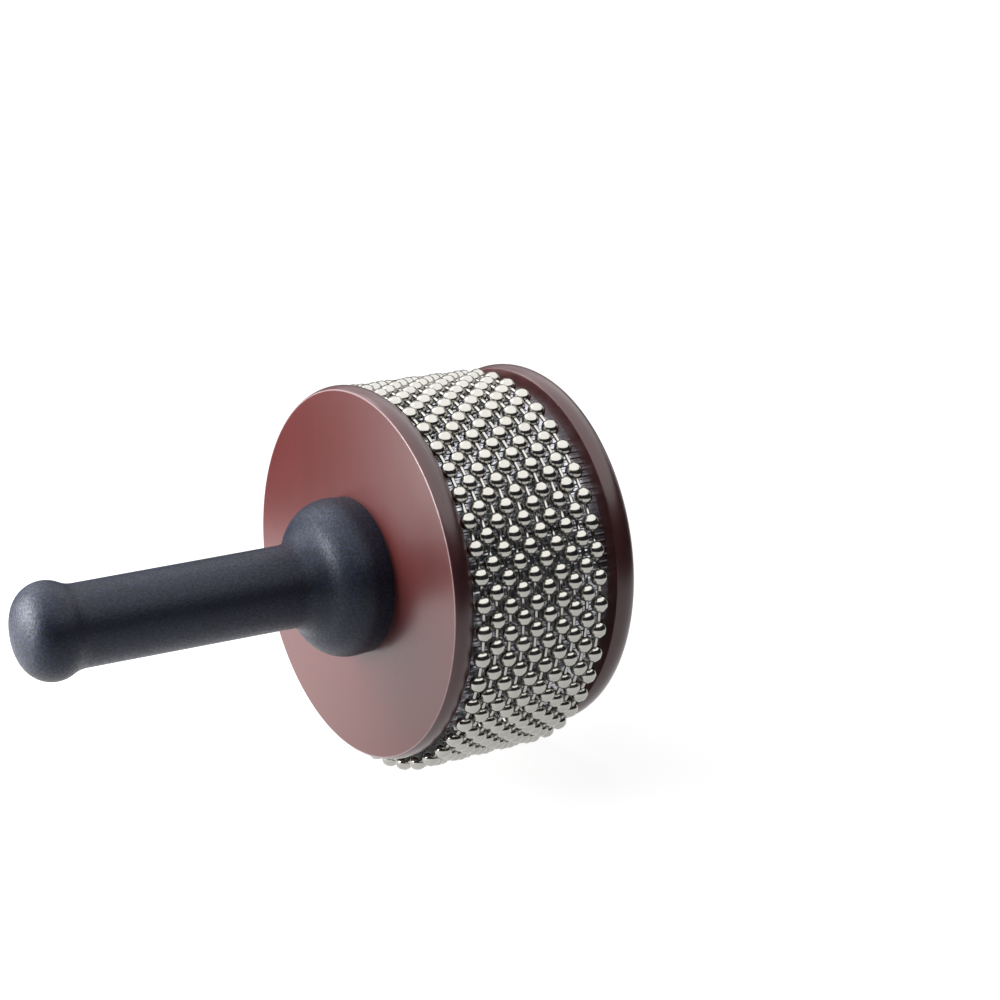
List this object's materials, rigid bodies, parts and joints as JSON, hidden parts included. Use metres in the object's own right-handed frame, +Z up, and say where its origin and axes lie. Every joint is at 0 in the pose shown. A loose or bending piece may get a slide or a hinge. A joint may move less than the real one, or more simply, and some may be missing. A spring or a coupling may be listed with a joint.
{
  "type": "cabasa",
  "caption": "Hand percussion instrument: a short drum between two wooden discs, wrapped in ridged sheet and loose loops of ball chain, on a straight handle with a knob.",
  "frame": {"origin": "under the middle of the whole length, on the surface that the chain loops lie on", "axes": "+X along the drum's axis from the handle towards the free disc, +Z up as the instrument lies on its side, +Y completes the right-handed frame"},
  "size_m": [0.1712, 0.1186, 0.1189],
  "materials": {
    "moulded_black": "fine moulded grain, satin",
    "lacquered_wood": "dark red stain under satin lacquer",
    "raw_wood": "sanded, unfinished",
    "pressed_sheet": "bright, with fine pressed ridges",
    "chain_steel": "nickel plated, polished",
    "brass": "turned",
    "zinc_steel": "zinc plated"
  },
  "bodies": {
    "drum": {"handle": "moulded_black", "handle_insert": "brass", "handle_disc": "lacquered_wood", "end_disc": "lacquered_wood", "core": "raw_wood", "sleeve": "pressed_sheet", "sleeve_tacks": "zinc_steel", "through_bolt": "zinc_steel", "washer": "zinc_steel"},
    "chain_01": {"chain_01_beads": "chain_steel", "chain_01_links": "chain_steel"},
    "chain_02": {"chain_02_beads": "chain_steel", "chain_02_links": "chain_steel"},
    "chain_03": {"chain_03_beads": "chain_steel", "chain_03_links": "chain_steel"},
    "chain_04": {"chain_04_beads": "chain_steel", "chain_04_links": "chain_steel"},
    "chain_05": {"chain_05_beads": "chain_steel", "chain_05_links": "chain_steel"},
    "chain_06": {"chain_06_beads": "chain_steel", "chain_06_links": "chain_steel"},
    "chain_07": {"chain_07_beads": "chain_steel", "chain_07_links": "chain_steel"},
    "chain_08": {"chain_08_beads": "chain_steel", "chain_08_links": "chain_steel"},
    "chain_09": {"chain_09_beads": "chain_steel", "chain_09_links": "chain_steel"},
    "chain_10": {"chain_10_beads": "chain_steel", "chain_10_links": "chain_steel"}
  },
  "joints": [
    {"name": "chain_01_turn", "type": "hinge", "parent": "drum", "child": "chain_01", "pos_m": [0.0312, 0, 0.05932], "axis": [1, 0, 0], "continuous": true},
    {"name": "chain_02_turn", "type": "hinge", "parent": "drum", "child": "chain_02", "pos_m": [0.03575, 0, 0.05932], "axis": [1, 0, 0], "continuous": true},
    {"name": "chain_03_turn", "type": "hinge", "parent": "drum", "child": "chain_03", "pos_m": [0.0403, 0, 0.05932], "axis": [1, 0, 0], "continuous": true},
    {"name": "chain_04_turn", "type": "hinge", "parent": "drum", "child": "chain_04", "pos_m": [0.04485, 0, 0.05932], "axis": [1, 0, 0], "continuous": true},
    {"name": "chain_05_turn", "type": "hinge", "parent": "drum", "child": "chain_05", "pos_m": [0.0494, 0, 0.05932], "axis": [1, 0, 0], "continuous": true},
    {"name": "chain_06_turn", "type": "hinge", "parent": "drum", "child": "chain_06", "pos_m": [0.05395, 0, 0.05932], "axis": [1, 0, 0], "continuous": true},
    {"name": "chain_07_turn", "type": "hinge", "parent": "drum", "child": "chain_07", "pos_m": [0.0585, 0, 0.05932], "axis": [1, 0, 0], "continuous": true},
    {"name": "chain_08_turn", "type": "hinge", "parent": "drum", "child": "chain_08", "pos_m": [0.06305, 0, 0.05932], "axis": [1, 0, 0], "continuous": true},
    {"name": "chain_09_turn", "type": "hinge", "parent": "drum", "child": "chain_09", "pos_m": [0.0676, 0, 0.05932], "axis": [1, 0, 0], "continuous": true},
    {"name": "chain_10_turn", "type": "hinge", "parent": "drum", "child": "chain_10", "pos_m": [0.07215, 0, 0.05932], "axis": [1, 0, 0], "continuous": true}
  ],
  "couplings": [
    {"joint": "chain_02_turn", "follows": "chain_01_turn", "ratio": 1},
    {"joint": "chain_03_turn", "follows": "chain_01_turn", "ratio": 1},
    {"joint": "chain_04_turn", "follows": "chain_01_turn", "ratio": 1},
    {"joint": "chain_05_turn", "follows": "chain_01_turn", "ratio": 1},
    {"joint": "chain_06_turn", "follows": "chain_01_turn", "ratio": 1},
    {"joint": "chain_07_turn", "follows": "chain_01_turn", "ratio": 1},
    {"joint": "chain_08_turn", "follows": "chain_01_turn", "ratio": 1},
    {"joint": "chain_09_turn", "follows": "chain_01_turn", "ratio": 1},
    {"joint": "chain_10_turn", "follows": "chain_01_turn", "ratio": 1}
  ]
}
